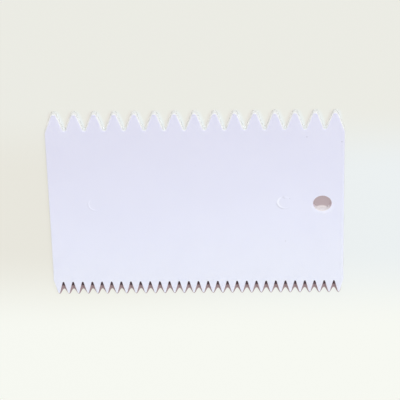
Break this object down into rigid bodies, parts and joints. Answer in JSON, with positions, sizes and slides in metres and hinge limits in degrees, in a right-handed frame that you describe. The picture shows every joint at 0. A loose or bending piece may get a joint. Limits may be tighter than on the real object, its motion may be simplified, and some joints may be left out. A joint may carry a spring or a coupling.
{
  "type": "cake comb",
  "caption": "Flat moulded plastic comb for icing: coarse teeth along one long edge, fine teeth along the other, and a hanging hole near one end.",
  "frame": {"origin": "middle of the flat back face, under the middle of the plate's outline", "axes": "+X runs along the comb's length towards the end with the hanging hole, +Y points to the coarse teeth, and +Z points out of the front face, so the comb lies on its back"},
  "size_m": [0.11, 0.08, 0.0025],
  "materials": {
    "white_plastic": "satin white with a cool tint"
  },
  "bodies": {
    "root": {"comb_plate": "white_plastic"}
  },
  "joints": []
}
